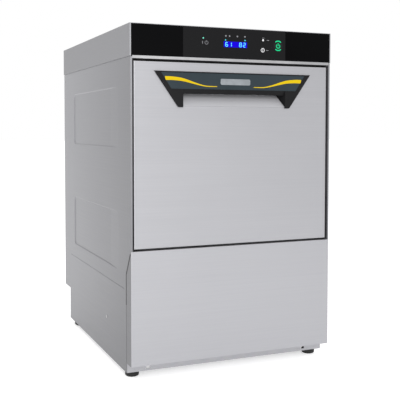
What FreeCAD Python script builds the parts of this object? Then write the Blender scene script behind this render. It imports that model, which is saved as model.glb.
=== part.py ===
"""Front-loading undercounter commercial dishwasher, 400 mm rack class.

Units are millimetres.  X runs right along the front, Z runs up from the floor.
Every piece is drawn with y as its depth behind the front plane; save() then
moves it so that the origin is the centre of the footprint, with the front
facing -Y.
"""
import FreeCAD
import Part
import math
import os

V = FreeCAD.Vector
AXIS_X = V(1, 0, 0)
AXIS_Y = V(0, 1, 0)
AXIS_Z = V(0, 0, 1)

# ---- driving dimensions --------------------------------------------------
WIDTH = 460.0
DEPTH = 565.0
HEIGHT = 715.0
SHEET = 1.0              # cabinet sheet steel
TANK_WALL = 1.2          # wash chamber sheet steel
FOOT_HEIGHT = 13.0       # floor to the underside of the cabinet
BASE_TOP = 31.5          # top of the base tray
PANEL_BOTTOM = 33.0      # lower edge of the lower front panel
PANEL_TOP = 264.0        # upper edge of the lower front panel
DOOR_BOTTOM = 268.5
DOOR_TOP = 641.0
TRIM_BOTTOM = 646.0
COVER_SEAM = 650.0       # where the top cover's skirt meets the side panels
GLASS_BOTTOM = 651.6
DOOR_FACE = 2.7          # the door's face sits this far behind the front plane
DOOR_BACK = 49.0
FRAME_FACE = 52.0        # front frame that the door closes against
SERVICE_RECESS = 510.0   # depth of the recessed rear service panel
SERVICE_TOP = 92.0       # height of the recess at the rear

# ---- sizes that follow from them -----------------------------------------
HALF = WIDTH / 2
COVER_INNER = HALF - SHEET
COVER_RETURN = 2.7       # folded front edge beside the glass
GLASS_HALF = HALF - COVER_RETURN
COVER_LAP = 1.4          # the cover's skirt stands this far out from the sides
SIDE = HALF - COVER_LAP
INNER = SIDE - SHEET
EDGE_RETURN = 3.6        # folded front edge beside the door
JAMB = SIDE - EDGE_RETURN
DOOR_GAP = 3.6           # between that edge and the door
DOOR_HALF = JAMB - DOOR_GAP
SEAM = 0.5               # half of the dark seam between two sheets
CORNER_R = 0.9           # bend radius of the cabinet's front corners

# wash chamber
CHAMBER_HALF = 205.0
CHAMBER_FRONT = FRAME_FACE + TANK_WALL
CHAMBER_BACK = 496.0
CHAMBER_FLOOR = 256.0
CHAMBER_TOP = 692.0
OPENING_HALF = 202.5
OPENING_BOTTOM = 290.0
OPENING_TOP = 628.0
ARM_Y = 274.0            # depth of the wash arms' axis
SUMP_HALF = 130.0
SUMP_FLOOR = 190.0
SUMP_FLOOR_HALF = 75.0
RACK_SHELF = 317.0

# door hinge
PIVOT_Y = 12.0
PIVOT_Z = 278.5
PIN_R = 4.0
PIN_CLEARANCE = 0.05
BRACKET_X = (210.0, 214.0)
BRACKET_SLOT = (208.5, 215.5)
BRACKET_HALF = 7.0

# handle
HANDLE_TOP = 623.0
HANDLE_TOP_HALF = 178.5
LEG_BOTTOM = 551.0
LEG_OUTER = 127.5
LEG_INNER = 117.0
BAR_BOTTOM = 578.5
LIP_TOP = 588.0
PLATE_TOP = 621.0
POCKET_CREASE = 553.0
POCKET_BACK = DOOR_FACE + 24.0
POCKET_TOP = 607.0
POCKET_HALF = 119.5
CHEEK_BACK = 108.5       # the recess narrows to this half width at its back
HOOK_BACK = 9.0          # back of the bar's finger hook

# base tray and feet
BASE_SETBACK = 30.0      # the tray's front behind the front plane
BASE_WALL = 1.5
BASE_SLOT = (182.5, 20.0, 8.0, 5.0)               # x, z, width and height
FOOT_X = 210.0
FOOT_FRONT_Y = 52.0
FOOT_REAR_Y = 478.0
FOOT_R = 14.5
FOOT_BOSS_R = 11.0
STEM_R = 5.0

# wash and rinse arms
ARM_REACH = 188.0
RINSE_REACH = 176.0
SPINDLE_R = 12.0
RINSE_SPINDLE_R = 8.0
RUNNING = 0.05           # radial running clearance of the arms and rotors


# ---- small helpers -------------------------------------------------------
def box(x0, x1, y0, y1, z0, z1):
    """A box from two opposite corners."""
    return Part.makeBox(x1 - x0, y1 - y0, z1 - z0, V(x0, y0, z0))


def rod(radius, start, axis, length):
    """A round bar of the given length along an axis."""
    return Part.makeCylinder(radius, length, V(*start), axis)


def polygon(points):
    """A closed face through 3-D points."""
    corners = [V(*p) for p in points]
    return Part.Face(Part.makePolygon(corners + [corners[0]]))


def sheet_yz(points, x0, x1):
    """A (y, z) outline pushed along X."""
    return polygon([(x0, y, z) for y, z in points]).extrude(V(x1 - x0, 0, 0))


def sheet_xz(points, y0, y1):
    """An (x, z) outline pushed along Y."""
    return polygon([(x, y0, z) for x, z in points]).extrude(V(0, y1 - y0, 0))


def sheet_xy(points, z0, z1):
    """An (x, y) outline pushed along Z."""
    return polygon([(x, y, z0) for x, y in points]).extrude(V(0, 0, z1 - z0))


def lathe(profile, centre):
    """An (r, z) profile turned about a vertical axis through centre."""
    face = polygon([(r, 0, z) for r, z in profile])
    turned = face.revolve(V(0, 0, 0), AXIS_Z, 360)
    turned.translate(V(*centre))
    return turned


def join(shapes):
    """One solid from several that touch."""
    first, rest = shapes[0], shapes[1:]
    return first.multiFuse(rest).removeSplitter() if rest else first


def group(shapes):
    """Separate solids kept together in one node."""
    return Part.makeCompound(shapes)


def mirror_x(shape):
    """The same piece on the other side of the centre plane."""
    return shape.mirror(V(0, 0, 0), AXIS_X)


def both_sides(shape):
    return [shape, mirror_x(shape)]


def round_edges(shape, radius, wanted):
    """Fillet the edges that wanted(edge) picks."""
    return shape.makeFillet(radius, [e for e in shape.Edges if wanted(e)])


def upright_at(x, y, slack=0.05):
    """Picks vertical edges at (x, y)."""
    def wanted(edge):
        ends = [v.Point for v in edge.Vertexes]
        return len(ends) == 2 and all(
            abs(p.x - x) < slack and abs(p.y - y) < slack for p in ends)
    return wanted


def rounded_rectangle(x, y0, y1, z0, z1, radius):
    """A rounded rectangle in a plane of constant x."""
    corners = ((y1, z1, 0), (y0, z1, 90), (y0, z0, 180), (y1, z0, 270))
    edges, ends = [], []
    for y, z, start in corners:
        cy = y - radius if y == y1 else y0 + radius
        cz = z - radius if z == z1 else z0 + radius
        pts = []
        for angle in (start, start + 45, start + 90):
            a = math.radians(angle)
            pts.append(V(x, cy + radius * math.cos(a), cz + radius * math.sin(a)))
        edges.append(Part.Arc(*pts).toShape())
        ends.append((pts[0], pts[2]))
    loop = []
    for i, arc in enumerate(edges):
        loop.append(arc)
        loop.append(Part.LineSegment(ends[i][1], ends[(i + 1) % 4][0]).toShape())
    return Part.Wire(loop)


def pipe(points, radius, bend):
    """A solid round bar along straight runs with tangent bends."""
    path = [V(*p) for p in points]
    edges, last = [], path[0]
    for before, corner, after in zip(path, path[1:], path[2:]):
        into = (corner - before).normalize()
        out = (after - corner).normalize()
        half_turn = into.getAngle(out) / 2
        back = bend * math.tan(half_turn)
        start, end = corner - into * back, corner + out * back
        inward = (out - into).normalize()
        middle = corner + inward * (bend / math.cos(half_turn) - bend)
        edges.append(Part.LineSegment(last, start).toShape())
        edges.append(Part.Arc(start, middle, end).toShape())
        last = end
    edges.append(Part.LineSegment(last, path[-1]).toShape())
    wire = Part.Wire(edges)
    heading = (path[1] - path[0]).normalize()
    ring = Part.Wire([Part.makeCircle(radius, path[0], heading)])
    return wire.makePipeShell([ring], True, True)


def save(name, shape):
    """Move a finished piece to the shared origin and write its STEP file."""
    placed = shape.copy()
    placed.translate(V(0, -DEPTH / 2, 0))
    placed.exportStep("parts/" + name + ".step")


# ---- cabinet -------------------------------------------------------------
SCREW_SEATS = ((551.8, 631.4), (551.8, 112.0))   # (y, z) on each side
SCREW_HEAD_R = 3.9
SCREW_HOLE_R = 4.0
REAR_SCREWS = ((-190.0, 120.0), (0.0, 120.0), (190.0, 120.0))
SIDE_RIVET = (171.5, 95.4)                        # (y, z) on each side
RIVET_R = 1.8
RIVET_HEAD_R = 3.2
RIVET_HEAD = 0.7
PRESSINGS = ((469.0, 595.0), (215.0, 337.0))     # z ranges of the side pressings
PRESSING_Y = (81.5, 460.0)
PRESSING_DEPTH = 1.6
PRESSING_EDGE = 2.5
PRESSING_RUN_OUT = 60.0
SLIT = ((2.0, 258.5), (29.0, 213.5))             # the wrapped front panel's edge
SLIT_GAP = (1.5, 0.5)                            # from that edge to the side panel
PANEL_TABS = ((48.0, 62.0), (188.0, 202.0))      # z ranges of the tabs behind it


def pressing(x, inward, z0, z1):
    """The tapered slab that a side pressing moves inwards, from plane x."""
    y0, y1 = PRESSING_Y
    deep = x + inward * PRESSING_DEPTH
    outer = rounded_rectangle(x, y0, y1, z0, z1, 12.0)
    inner = rounded_rectangle(deep, y0 + PRESSING_RUN_OUT, y1 - PRESSING_EDGE,
                              z0 + PRESSING_EDGE, z1 - PRESSING_EDGE, 9.0)
    return Part.makeLoft([outer, inner], True, True)


def left_side_panel():
    """Side sheet with a folded front edge, two pressings, tabs and a rear fold."""
    slit = [(y + SLIT_GAP[0], z + SLIT_GAP[1]) for y, z in SLIT]
    top = COVER_SEAM + 12
    skin = sheet_yz([(6, top), (6, COVER_SEAM - SEAM), (0, COVER_SEAM - SEAM), (0, PANEL_TOP),
                     *slit, (slit[1][0], FOOT_HEIGHT), (SERVICE_RECESS, FOOT_HEIGHT),
                     (SERVICE_RECESS, SERVICE_TOP), (DEPTH, SERVICE_TOP),
                     (DEPTH, COVER_SEAM - SEAM), (DEPTH - 6, COVER_SEAM - SEAM),
                     (DEPTH - 6, top)], -SIDE, -INNER)
    front = box(-SIDE, -JAMB, 0, SHEET, PANEL_TOP, COVER_SEAM - SEAM)
    jamb = box(-JAMB - SHEET, -JAMB, 0, FRAME_FACE, PANEL_TOP, COVER_SEAM - SEAM)
    rear = box(-SIDE, -SIDE + 14, DEPTH - 2 * SHEET, DEPTH - SHEET, SERVICE_TOP, COVER_SEAM - SEAM)
    tabs = [box(-INNER, -INNER + SHEET, 14, 44, z0, z1) for z0, z1 in PANEL_TABS]
    step = sheet_yz([(455, 170), (495, 170), (495, 183), (43, 183), (43, 182), (455, 182)],
                    -INNER, -INNER + SHEET)
    panel = join([skin, front, jamb, rear, step] + tabs)
    for z0, z1 in PRESSINGS:
        inside = pressing(-INNER, 1, z0, z1)
        outside = pressing(-SIDE, 1, z0, z1)
        panel = panel.fuse(inside).cut(outside)
    groove = box(-SIDE - 1, -SIDE + 0.5, 43, 495, 182.2, 183.8)
    panel = panel.cut(groove)
    for y, z in SCREW_SEATS:
        panel = panel.cut(rod(SCREW_HOLE_R, (-SIDE - 1, y, z), AXIS_X, 3))
    panel = panel.cut(rod(RIVET_R, (-SIDE - 1, *SIDE_RIVET), AXIS_X, 3))
    return round_edges(panel.removeSplitter(), CORNER_R, upright_at(-SIDE, 0))


def top_cover():
    """Lid sheet with side and rear skirts and folded front edges."""
    z0 = COVER_SEAM + SEAM
    shell = box(-HALF, HALF, 0, DEPTH, z0, HEIGHT)
    hollow = box(-COVER_INNER, COVER_INNER, -1, DEPTH - SHEET, z0 - 1, HEIGHT - SHEET)
    edge = box(-HALF, -GLASS_HALF, 0, SHEET, z0, HEIGHT)
    return round_edges(join([shell.cut(hollow)] + both_sides(edge)), CORNER_R,
                       lambda e: upright_at(-HALF, 0)(e) or upright_at(HALF, 0)(e))


def rear_panel():
    """Rear sheet between the side panels, with two pressed stiffening fields."""
    z0, z1 = SERVICE_TOP, COVER_SEAM - SEAM
    panel = box(-INNER, INNER, DEPTH - SHEET, DEPTH, z0, z1)
    for x0, x1 in ((-180, -15), (15, 180)):
        field = box(x0, x1, DEPTH - 1.8, DEPTH - SHEET, 200, 560)
        panel = panel.fuse(field).cut(box(x0 + 1, x1 - 1, DEPTH - 0.8, DEPTH + 1, 201, 559))
    for x, z in REAR_SCREWS:
        panel = panel.cut(rod(SCREW_HOLE_R, (x, DEPTH - 4, z), AXIS_Y, 6))
    return panel.removeSplitter()


INLET_X, OUTLET_X, GLAND_X = 110.0, -40.0, -150.0
SERVICE_Z = 62.0
INLET_HOLE_R = 11.0
OUTLET_HOLE_R = 12.0
GLAND_HOLE_R = 10.0


def rear_lower_panel():
    """Recessed service panel that the water, drain and cable pass through."""
    panel = box(-INNER, INNER, SERVICE_RECESS, SERVICE_RECESS + SHEET, BASE_TOP, SERVICE_TOP - SHEET)
    for x, radius in ((INLET_X, INLET_HOLE_R), (OUTLET_X, OUTLET_HOLE_R), (GLAND_X, GLAND_HOLE_R)):
        panel = panel.cut(rod(radius, (x, SERVICE_RECESS - 2, SERVICE_Z), AXIS_Y, 6))
    return panel


def rear_lower_shelf():
    """Cross sheet that closes the cabinet over the service recess."""
    return box(-INNER, INNER, SERVICE_RECESS, DEPTH - SHEET, SERVICE_TOP - SHEET, SERVICE_TOP)


def foot_places():
    return [(x, y) for y in (FOOT_FRONT_Y, FOOT_REAR_Y) for x in (-FOOT_X, FOOT_X)]


def base_frame():
    """Downward tray on which everything stands, with foot bosses and front slots."""
    front, wall = BASE_SETBACK, BASE_WALL
    shell = box(-INNER, INNER, front, SERVICE_RECESS, FOOT_HEIGHT, BASE_TOP)
    hollow = box(-INNER + wall, INNER - wall, front + wall, SERVICE_RECESS - wall,
                 FOOT_HEIGHT - 1, BASE_TOP - wall)
    tray = shell.cut(hollow)
    for x, y in foot_places():
        tray = tray.fuse(rod(FOOT_BOSS_R, (x, y, 20.0), AXIS_Z, 26.0))
        tray = tray.cut(rod(STEM_R + PIN_CLEARANCE, (x, y, 10), AXIS_Z, 60))
    x, z, width, height = BASE_SLOT
    slot = box(x - width / 2, x + width / 2, front - 1, front + wall + 1,
               z - height / 2, z + height / 2)
    for cutter in both_sides(slot):
        tray = tray.cut(cutter)
    return tray.removeSplitter()


def lower_front_panel():
    """Service panel whose side flanges wrap onto the cabinet's sides."""
    face = box(-SIDE, SIDE, 0, SHEET, PANEL_BOTTOM, PANEL_TOP)
    flange = sheet_yz([(0, PANEL_BOTTOM), (SLIT[1][0], PANEL_BOTTOM), SLIT[1], SLIT[0],
                       (0, SLIT[0][1] + 3)], -SIDE, -INNER)
    fold = INNER - 1.5
    top = box(-fold, fold, 0, 16, PANEL_TOP - SHEET, PANEL_TOP)
    bottom = box(-fold, fold, 0, 28, PANEL_BOTTOM, PANEL_BOTTOM + SHEET)
    panel = join([face, top, bottom] + both_sides(flange))
    return round_edges(panel, CORNER_R,
                       lambda e: upright_at(-SIDE, 0)(e) or upright_at(SIDE, 0)(e))


def front_frame():
    """Flat frame round the chamber's mouth that the door seals against."""
    plate = box(-JAMB, JAMB, FRAME_FACE, FRAME_FACE + TANK_WALL, PANEL_TOP - 14, TRIM_BOTTOM)
    mouth = box(-OPENING_HALF, OPENING_HALF, FRAME_FACE - 1, FRAME_FACE + 3,
                OPENING_BOTTOM, OPENING_TOP)
    frame = plate.cut(mouth)
    slot = box(BRACKET_SLOT[0], BRACKET_SLOT[1], FRAME_FACE - 1, FRAME_FACE + 3,
               PIVOT_Z - BRACKET_HALF - 1.5, PIVOT_Z + BRACKET_HALF + 1.5)
    for cutter in both_sides(slot):
        frame = frame.cut(cutter)
    return frame


# ---- control console -----------------------------------------------------
GLASS_THICK = 3.0
LCD_X = (-27.2, 26.0)
LCD_Z = (675.4, 687.0)
START_KEY = (99.7, 683.1, 10.6)                   # x, z, radius
LEDS = ((-73.2, 691.9), (-23.2, 689.9), (21.4, 690.7))
LED_R = 1.5
LENS_THICK = 0.8


def console_glass():
    """Dark front glass with shallow seats for the display and the lenses."""
    glass = box(-GLASS_HALF, GLASS_HALF, 0, GLASS_THICK, GLASS_BOTTOM, HEIGHT - SHEET)
    glass = glass.cut(box(LCD_X[0], LCD_X[1], -1, LENS_THICK, LCD_Z[0], LCD_Z[1]))
    x, z, radius = START_KEY
    glass = glass.cut(rod(radius, (x, -1, z), AXIS_Y, 1 + LENS_THICK))
    for x, z in LEDS:
        glass = glass.cut(rod(LED_R, (x, -1, z), AXIS_Y, 1 + LENS_THICK))
    return glass


def lcd_display():
    """Display window, flush with the glass."""
    return box(LCD_X[0], LCD_X[1], 0, LENS_THICK, LCD_Z[0], LCD_Z[1])


def key_lenses():
    """Start key field and three indicator lenses, flush with the glass."""
    x, z, radius = START_KEY
    lenses = [rod(radius, (x, 0, z), AXIS_Y, LENS_THICK)]
    for x, z in LEDS:
        lenses.append(rod(LED_R, (x, 0, z), AXIS_Y, LENS_THICK))
    return group(lenses)


def console_trim():
    """Bright angle strip under the glass."""
    return sheet_yz([(0, TRIM_BOTTOM), (0, GLASS_BOTTOM), (14, GLASS_BOTTOM),
                     (14, GLASS_BOTTOM - SHEET), (SHEET, GLASS_BOTTOM - SHEET),
                     (SHEET, TRIM_BOTTOM)], -JAMB, JAMB)


def console_housing():
    """Moulded box behind the glass, open at the rear."""
    outer = box(-GLASS_HALF, GLASS_HALF, GLASS_THICK, 40, GLASS_BOTTOM, HEIGHT - SHEET)
    inner = box(-GLASS_HALF + 2, GLASS_HALF - 2, GLASS_THICK + 2, 41,
                GLASS_BOTTOM + 2, HEIGHT - SHEET - 2)
    skirt = box(-JAMB + 1.5, JAMB - 1.5, 16, 50, TRIM_BOTTOM - 1.5, GLASS_BOTTOM)
    return join([outer.cut(inner), skirt])


def control_board():
    """Circuit board with its display module, keys and relays."""
    board = box(-125, 130, 9, 10.6, 658, 708)
    display = box(-32, 32, 5.5, 9, 668, 696)
    relays = [box(x, x + 14, 10.6, 24, 664, 690) for x in (-110, -85, -60, 50, 75)]
    return join([board, display] + relays)


def screw(y_across, z_across):
    """A cross-headed screw along +X, its head's face in the plane x = 0."""
    head = rod(SCREW_HEAD_R, (0, y_across, z_across), AXIS_X, 1.8)
    shank = rod(2.0, (1.8, y_across, z_across), AXIS_X, 10)
    cross = box(-1, 0.8, y_across - 2.2, y_across + 2.2, z_across - 0.4, z_across + 0.4)
    upright = box(-1, 0.8, y_across - 0.4, y_across + 0.4, z_across - 2.2, z_across + 2.2)
    return head.fuse(shank).cut(cross.fuse(upright))


def cabinet_screws():
    """Flush cross-headed screws of the side and rear panels, and a side rivet."""
    pieces = []
    for y, z in SCREW_SEATS:
        side_screw = screw(y, z)
        side_screw.translate(V(-SIDE + 0.2, 0, 0))
        pieces += both_sides(side_screw)
    y, z = SIDE_RIVET
    head = rod(RIVET_HEAD_R, (-SIDE - RIVET_HEAD, y, z), AXIS_X, RIVET_HEAD)
    pieces += both_sides(head.fuse(rod(RIVET_R, (-SIDE - 0.1, y, z), AXIS_X, 4)))
    for x, z in REAR_SCREWS:
        rear_screw = screw(x, z)
        rear_screw.rotate(V(0, 0, 0), AXIS_Z, -90)
        rear_screw.translate(V(0, DEPTH - 0.2, 0))
        pieces.append(rear_screw)
    return group(pieces)


# ---- levelling feet ------------------------------------------------------
def foot(x, y):
    """Screw-in levelling foot: rounded pad with a flange and a long stem."""
    pad = lathe([(0, 0), (FOOT_R - 3.0, 0), (FOOT_R - 0.8, 1.4), (FOOT_R, 4.0), (FOOT_R, 10.0),
                 (FOOT_R - 2.5, 12.5), (FOOT_R - 2.5, 15.0), (FOOT_R - 5, 15.0),
                 (FOOT_R - 5, 19.0), (0, 19.0)], (x, y, 0))
    stem = rod(STEM_R, (x, y, 18.0), AXIS_Z, 52.0)
    return join([pad, stem])


# ---- wash chamber --------------------------------------------------------
def wash_tank():
    """Deep-drawn wash chamber, open at the front and over the sump."""
    outer = box(-CHAMBER_HALF - TANK_WALL, CHAMBER_HALF + TANK_WALL,
                CHAMBER_FRONT, CHAMBER_BACK, CHAMBER_FLOOR - TANK_WALL, CHAMBER_TOP)
    inner = box(-CHAMBER_HALF, CHAMBER_HALF, CHAMBER_FRONT + TANK_WALL, CHAMBER_BACK - TANK_WALL,
                CHAMBER_FLOOR, CHAMBER_TOP - TANK_WALL)
    mouth = box(-OPENING_HALF, OPENING_HALF, CHAMBER_FRONT - 1, CHAMBER_FRONT + 3,
                OPENING_BOTTOM, OPENING_TOP)
    well = box(-SUMP_HALF, SUMP_HALF, ARM_Y - SUMP_HALF, ARM_Y + SUMP_HALF,
               CHAMBER_FLOOR - 3, CHAMBER_FLOOR + 1)
    return outer.cut(inner).cut(mouth).cut(well)


def square_wire(half, z):
    corners = [V(-half, ARM_Y - half, z), V(half, ARM_Y - half, z),
               V(half, ARM_Y + half, z), V(-half, ARM_Y + half, z)]
    return Part.makePolygon(corners + [corners[0]])


PROBE_Y = 205.0
PROBE_Z = CHAMBER_FLOOR - 44.0
HEATER_Z = CHAMBER_FLOOR - 26.0
HEATER_R = 3.2
HEATER_ENDS = 30.0


def sump():
    """Tapered sump pan hung under the chamber's floor."""
    rim_z = CHAMBER_FLOOR - TANK_WALL
    outer = Part.makeLoft([square_wire(SUMP_HALF + TANK_WALL, rim_z),
                           square_wire(SUMP_FLOOR_HALF + TANK_WALL, SUMP_FLOOR - TANK_WALL)], True)
    inner = Part.makeLoft([square_wire(SUMP_HALF, rim_z),
                           square_wire(SUMP_FLOOR_HALF, SUMP_FLOOR)], True)
    pan = outer.cut(inner)
    rim = box(-SUMP_HALF - 8, SUMP_HALF + 8, ARM_Y - SUMP_HALF - 8, ARM_Y + SUMP_HALF + 8,
              rim_z - TANK_WALL, rim_z)
    rim = rim.cut(box(-SUMP_HALF, SUMP_HALF, ARM_Y - SUMP_HALF, ARM_Y + SUMP_HALF,
                      rim_z - 3, rim_z + 1))
    pan = join([pan, rim])
    pan = pan.cut(rod(16.0, (0, ARM_Y, SUMP_FLOOR - 5), AXIS_Z, 8))
    pan = pan.cut(rod(12.5, (SUCTION_PORT[0], SUCTION_PORT[1], SUMP_FLOOR - 5), AXIS_Z, 8))
    pan = pan.cut(rod(3.0 + RUNNING, (-60, PROBE_Y, PROBE_Z), -AXIS_X, 60))
    for x in (-HEATER_ENDS, HEATER_ENDS):
        pan = pan.cut(rod(HEATER_R + RUNNING, (x, ARM_Y + 90, HEATER_Z), AXIS_Y, 50))
    return pan


RAIL_Y = (70.0, 480.0)
RAIL_SHELF = 19.0        # width of the rail's shelf
RAIL_THICK = 1.5
RAIL_BOLTS = (110.0, 275.0, 440.0)


def rack_guide():
    """Angle rail that carries the rack, on the left wall."""
    wall, edge = -CHAMBER_HALF, -CHAMBER_HALF + RAIL_SHELF
    y0, y1 = RAIL_Y
    rail = join([box(wall, wall + RAIL_THICK, y0, y1, RACK_SHELF - 12, RACK_SHELF + 22),
                 box(wall, edge, y0, y1, RACK_SHELF - RAIL_THICK, RACK_SHELF),
                 box(edge - RAIL_THICK, edge, y0, y1, RACK_SHELF - 8, RACK_SHELF)])
    for y in RAIL_BOLTS:
        rail = rail.fuse(rod(5.0, (wall + 1.5, y, RACK_SHELF + 14), AXIS_X, 2.5))
    return rail


PUMP_FILTER = (60.0, ARM_Y - 62.0)


def tank_filter():
    """Flat perforated strainer over the sump, round the lower hub."""
    z0 = CHAMBER_FLOOR
    half = SUMP_HALF + 10
    plate = box(-half, half, ARM_Y - half, ARM_Y + half, z0, z0 + 1.5)
    plate = plate.cut(rod(23.0, (0, ARM_Y, z0 - 1), AXIS_Z, 4))
    x, y = PUMP_FILTER
    plate = plate.cut(rod(32.0, (x, y, z0 - 1), AXIS_Z, 4))
    slots = []
    for column in range(-4, 5):
        for row in range(-4, 5):
            cx, cy = column * 28.0, ARM_Y + row * 28.0
            near_hub = math.hypot(cx, cy - ARM_Y) < 42
            near_filter = math.hypot(cx - x, cy - y) < 52
            if not (near_hub or near_filter):
                slots.append(box(cx - 9, cx + 9, cy - 1.5, cy + 1.5, z0 - 1, z0 + 3))
                slots.append(box(cx - 9, cx + 9, cy + 5.5, cy + 8.5, z0 - 1, z0 + 3))
    plate = plate.cut(Part.makeCompound(slots))
    lift = join([box(-110, -106, ARM_Y + 60, ARM_Y + 64, z0 + 1, z0 + 8),
                 box(-110, -106, ARM_Y + 96, ARM_Y + 100, z0 + 1, z0 + 8),
                 box(-110, -106, ARM_Y + 60, ARM_Y + 100, z0 + 6, z0 + 9)])
    return join([plate, lift])


def pump_filter():
    """Cup strainer that drops through the flat one, with a lifting grip."""
    x, y = PUMP_FILTER
    z0 = CHAMBER_FLOOR + 1.8
    cup = lathe([(0, -46), (25, -46), (30, 0), (37, 0), (37, 2), (28, 2), (23.5, -44), (0, -44)],
                (x, y, z0))
    for step in range(8):
        angle = step * 45.0
        window = box(14, 40, -4, 4, -40, -10)
        window.rotate(V(0, 0, 0), AXIS_Z, angle)
        window.translate(V(x, y, z0))
        cup = cup.cut(window)
    grip = join([rod(4.0, (x, y, z0 - 45), AXIS_Z, 50), rod(10.0, (x, y, z0 + 4), AXIS_Z, 5)])
    return join([cup, grip])


def tank_heater():
    """Looped tubular element under the flat strainer, fixed at the rear."""
    z, end = HEATER_Z, HEATER_ENDS
    left, front, rear = -84.0, ARM_Y - 84.0, ARM_Y + 74.0
    outside = ARM_Y + 128.0
    return pipe([(-end, outside, z), (-end, rear, z), (left, rear, z), (left, front, z),
                 (end, front, z), (end, front + 30, z), (left + 24, front + 30, z),
                 (left + 24, rear - 26, z), (end, rear - 26, z), (end, outside, z)], HEATER_R, 9.0)


def temperature_probe():
    """Rod thermostat sensor through the sump's sloping side."""
    z = PROBE_Z
    stem = rod(3.0, (-86, PROBE_Y, z), -AXIS_X, 44)
    head = rod(8.0, (-130, PROBE_Y, z), -AXIS_X, 14)
    return join([stem, head])


# ---- wash and rinse arms -------------------------------------------------
LOWER_HUB_FOOT = SUMP_FLOOR - 8.0
LOWER_FLANGE_TOP = 270.0
WASH_BOSS = 20.0
RINSE_BOSS = 8.5
ARM_PLAY = 0.3
RING_THICK = 1.8
CAP_THICK = 7.5
UPPER_FLANGE_BOTTOM = 668.0
RISER_R = 8.0
RISER_Z = 681.0
RISER_REAR = CHAMBER_BACK - TANK_WALL - 12.0


def hub_parts(flange_top, foot_z):
    """Spindle standing on a flange, with its retaining ring and end cap.

    Built upright from foot_z; the upper set is the same thing turned over.
    """
    wash_top = flange_top + ARM_PLAY + WASH_BOSS + ARM_PLAY
    ring_top = wash_top + RING_THICK
    rinse_top = ring_top + ARM_PLAY + RINSE_BOSS + ARM_PLAY
    hub = lathe([(0, foot_z), (15.9, foot_z), (15.9, flange_top - 8), (20, flange_top - 8),
                 (20, flange_top), (SPINDLE_R, flange_top), (SPINDLE_R, wash_top),
                 (RINSE_SPINDLE_R, wash_top), (RINSE_SPINDLE_R, rinse_top), (4, rinse_top),
                 (4, rinse_top + 5), (0, rinse_top + 5)], (0, ARM_Y, 0))
    ring = lathe([(RINSE_SPINDLE_R + 0.1, wash_top), (17, wash_top), (17, ring_top),
                  (RINSE_SPINDLE_R + 0.1, ring_top)], (0, ARM_Y, 0))
    cap = lathe([(4.1, rinse_top), (13, rinse_top), (13, rinse_top + 5),
                 (11, rinse_top + CAP_THICK), (0, rinse_top + CAP_THICK),
                 (0, rinse_top + 5.1), (4.1, rinse_top + 5.1)], (0, ARM_Y, 0))
    for step in range(6):
        flute = rod(2.0, (15.2, 0, rinse_top - 1), AXIS_Z, 12)
        flute.rotate(V(0, 0, 0), AXIS_Z, 60 * step)
        flute.translate(V(0, ARM_Y, 0))
        cap = cap.cut(flute)
    return hub, ring, cap


def arm_section(x, half_width, z0, z1):
    """A flat-sided oval section across an arm, at distance x."""
    return rounded_rectangle(x, ARM_Y - half_width, ARM_Y + half_width, z0, z1, (z1 - z0) / 2.2)


def spray_arm(z0, boss, bore, boss_r, reach, root_half, tip_half, slots, nozzle_up):
    """A two-bladed arm: a round boss with a tapering blade each way."""
    blade = Part.makeLoft([arm_section(boss_r * 0.5, root_half, z0 + 2, z0 + boss - 2),
                           arm_section(reach, tip_half, z0 + 3, z0 + boss - 3)], True, True)
    arm = join([rod(boss_r, (0, ARM_Y, z0), AXIS_Z, boss), blade,
                blade.mirror(V(0, 0, 0), AXIS_X)])
    arm = arm.cut(rod(bore, (0, ARM_Y, z0 - 1), AXIS_Z, boss + 2))
    top = z0 + boss - 4 if nozzle_up else z0 + 1
    cuts = []
    for step in range(slots):
        x = boss_r + 14 + step * (reach - boss_r - 28) / (slots - 1)
        for side in (-1, 1):
            slot = box(-5, 5, -1.2, 1.2, top, top + 3.2)
            slot.rotate(V(0, 0, 0), AXIS_Z, 20 * side)
            slot.translate(V(side * x, ARM_Y, 0))
            cuts.append(slot)
    return arm.cut(Part.makeCompound(cuts))


def turned(shape, degrees):
    """Turn an arm about the wash axis."""
    shape.rotate(V(0, ARM_Y, 0), AXIS_Z, degrees)
    return shape


def turned_over(shape, z):
    """The same piece hanging from height z instead of standing on it."""
    shape.rotate(V(0, ARM_Y, z), AXIS_X, 180)
    return shape


def wash_arm(flange_top, nozzle_up):
    z0 = flange_top + ARM_PLAY
    return spray_arm(z0, WASH_BOSS, SPINDLE_R + RUNNING, 24.0, ARM_REACH, 17.0, 12.0, 6, nozzle_up)


def rinse_arm(flange_top, nozzle_up):
    z0 = flange_top + 3 * ARM_PLAY + WASH_BOSS + RING_THICK
    return spray_arm(z0, RINSE_BOSS, RINSE_SPINDLE_R + RUNNING, 15.0, RINSE_REACH,
                     8.0, 6.0, 5, nozzle_up)


def riser_pipe():
    """Pipe from the wash pump up the rear wall and under the chamber's roof."""
    return pipe([(-60, RISER_REAR - 40, CHAMBER_FLOOR + 14), (-60, RISER_REAR, CHAMBER_FLOOR + 14),
                 (-60, RISER_REAR, RISER_Z), (0, RISER_REAR, RISER_Z), (0, ARM_Y, RISER_Z)],
                RISER_R, 22.0)


# ---- door ----------------------------------------------------------------
def band(x0, x1, y0, y1, z0, z1):
    """The same box at both ends of the door."""
    return both_sides(box(x0, x1, y0, y1, z0, z1))


def pocket_outline(grow):
    """(y, z) section of the finger recess, grown outwards by a sheet."""
    deep = POCKET_BACK + grow
    start = DOOR_FACE if grow else DOOR_FACE - 1
    return [(start, POCKET_CREASE - 0.93 - 1.4 * grow), (deep, BAR_BOTTOM + 0.5 - 0.4 * grow),
            (deep, POCKET_TOP + grow), (start, POCKET_TOP + grow)]


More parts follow.
